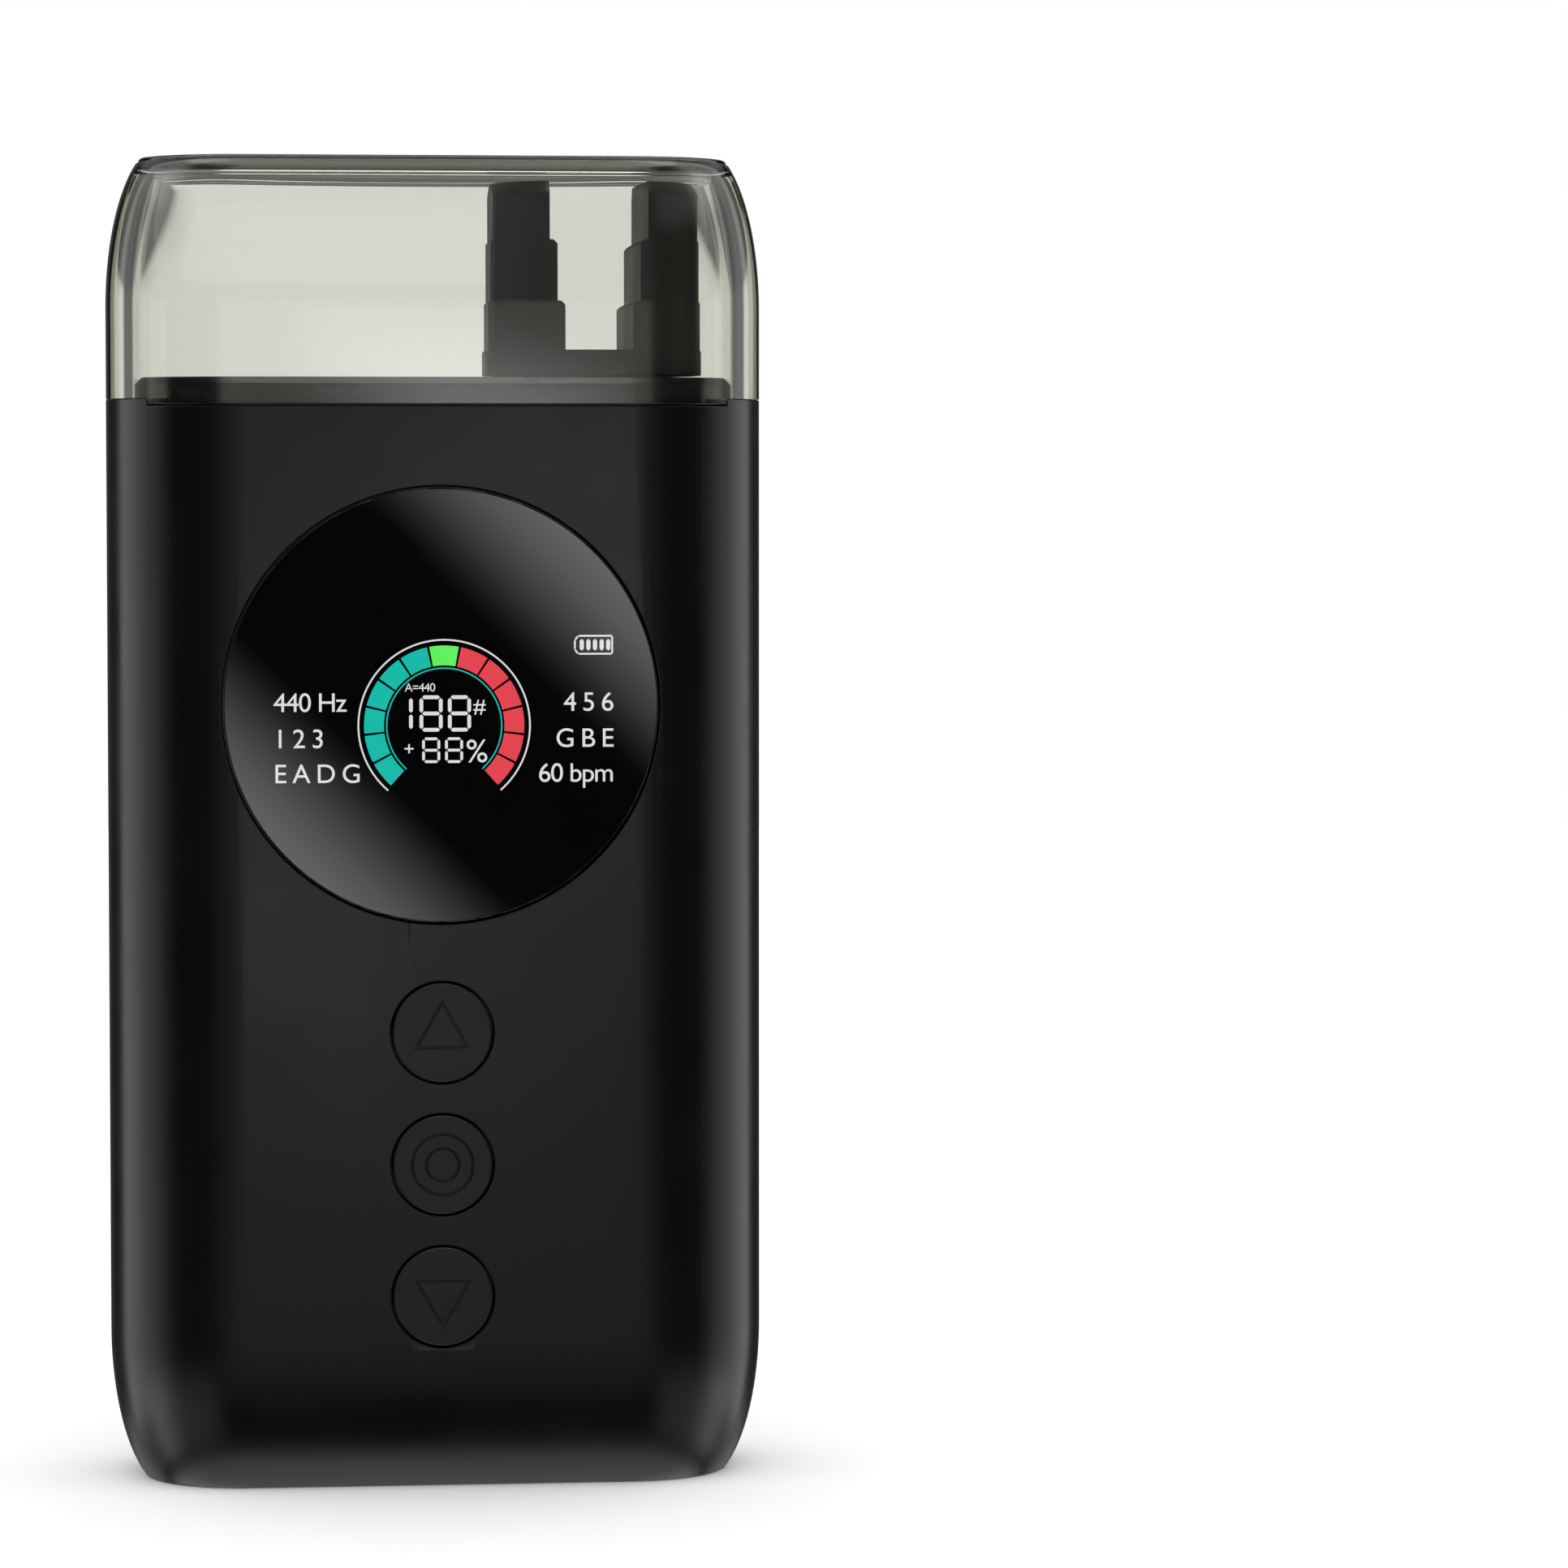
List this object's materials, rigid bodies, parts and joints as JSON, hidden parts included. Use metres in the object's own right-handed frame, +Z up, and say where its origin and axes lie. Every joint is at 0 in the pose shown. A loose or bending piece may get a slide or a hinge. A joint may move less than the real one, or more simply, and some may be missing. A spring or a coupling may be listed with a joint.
{
  "type": "motorised string tuner and winder",
  "caption": "Handheld motorised instrument tuner and string winder: flat black housing, round display, three buttons, forked winder head under a clear smoked cap.",
  "frame": {"origin": "centre of the base on the surface it stands on", "axes": "+Z up from the base to the cap top, +X right seen from the display side, +Y from the display towards the back"},
  "size_m": [0.048, 0.025, 0.0968],
  "materials": {
    "shell": "satin moulded black",
    "deck": "satin moulded black",
    "head": "fine matte dark grey",
    "lens": "polished black acrylic",
    "smoke": "clear smoked polycarbonate",
    "button": "satin moulded black",
    "screen": "dark display glass",
    "white_plastic": "moulded white",
    "black_plastic": "moulded black",
    "gear_plastic": "natural acetal",
    "foam": "closed-cell adhesive foam",
    "switch": "moulded black with metal top",
    "board": "green solder mask",
    "chip": "moulded epoxy",
    "foil": "pouch foil",
    "wire": "insulated wire",
    "magnet": "sintered ferrite",
    "core": "wound laminations",
    "steel": "bright zinc",
    "brass": "turned brass",
    "bronze": "sintered bronze",
    "copper": "copper segments"
  },
  "bodies": {
    "housing": {"front_cover": "shell", "rear_cover": "shell", "top_deck": "deck", "display_lens": "lens", "lens_gasket": "foam", "display_panel": "screen", "display_backlight": "white_plastic", "display_holder": "white_plastic", "tact_switches": "switch", "main_board": "board", "board_screws": "steel", "usb_shell": "steel", "usb_tongue": "black_plastic", "controller_chips": "chip", "buzzer": "black_plastic", "piezo_pickup": "brass", "battery_cell": "foil", "battery_pad": "foam", "battery_leads": "wire", "battery_plug": "white_plastic", "motor_can": "steel", "motor_end_cap": "black_plastic", "motor_magnets": "magnet", "motor_terminals": "brass", "motor_leads": "wire", "motor_screws": "steel", "gearbox_lower_plate": "steel", "gearbox_upper_plate": "steel", "gearbox_posts": "brass", "gearbox_screws": "steel", "idler_pin": "steel", "output_bush": "bronze"},
    "head": {"winder_head": "head", "output_shaft": "steel", "output_gear": "steel", "retaining_clip": "steel"},
    "gear_three": {"cluster_gear_3": "steel"},
    "gear_two": {"cluster_gear_2": "steel"},
    "gear_one": {"cluster_gear_1": "gear_plastic"},
    "rotor": {"motor_shaft": "steel", "motor_armature": "core", "motor_commutator": "copper", "motor_pinion": "brass"},
    "cap": {"cap": "smoke"},
    "up_button": {"button_up": "button", "plunger_up": "white_plastic"},
    "select_button": {"button_select": "button", "plunger_select": "white_plastic"},
    "down_button": {"button_down": "button", "plunger_down": "white_plastic"}
  },
  "joints": [
    {"name": "head_spin", "type": "hinge", "parent": "housing", "child": "head", "pos_m": [0.0117, -0.0009, 0.07], "axis": [0, 0, 1], "continuous": true},
    {"name": "gear_three_spin", "type": "hinge", "parent": "housing", "child": "gear_three", "pos_m": [0.0022, -0.0009, 0.07], "axis": [0, 0, 1], "continuous": true},
    {"name": "gear_two_spin", "type": "hinge", "parent": "housing", "child": "gear_two", "pos_m": [0.0117, -0.0009, 0.07], "axis": [0, 0, 1], "continuous": true},
    {"name": "gear_one_spin", "type": "hinge", "parent": "housing", "child": "gear_one", "pos_m": [0.0022, -0.0009, 0.07], "axis": [0, 0, 1], "continuous": true},
    {"name": "rotor_spin", "type": "hinge", "parent": "housing", "child": "rotor", "pos_m": [0.0117, -0.0009, 0.07], "axis": [0, 0, 1], "continuous": true},
    {"name": "cap_lift", "type": "slide", "parent": "housing", "child": "cap", "axis": [0, 0, 1], "range_m": [0, 0.022]},
    {"name": "up_press", "type": "slide", "parent": "housing", "child": "up_button", "axis": [0, 1, 0], "range_m": [0, 0.0004], "stiffness_N_per_m": 500, "springref_m": -0.0004},
    {"name": "select_press", "type": "slide", "parent": "housing", "child": "select_button", "axis": [0, 1, 0], "range_m": [0, 0.0004], "stiffness_N_per_m": 500, "springref_m": -0.0004},
    {"name": "down_press", "type": "slide", "parent": "housing", "child": "down_button", "axis": [0, 1, 0], "range_m": [0, 0.0004], "stiffness_N_per_m": 500, "springref_m": -0.0004}
  ],
  "couplings": [
    {"joint": "gear_three_spin", "follows": "head_spin", "ratio": -2.1667},
    {"joint": "gear_two_spin", "follows": "head_spin", "ratio": 4.6944},
    {"joint": "gear_one_spin", "follows": "head_spin", "ratio": -10.171},
    {"joint": "rotor_spin", "follows": "head_spin", "ratio": 22.038}
  ]
}
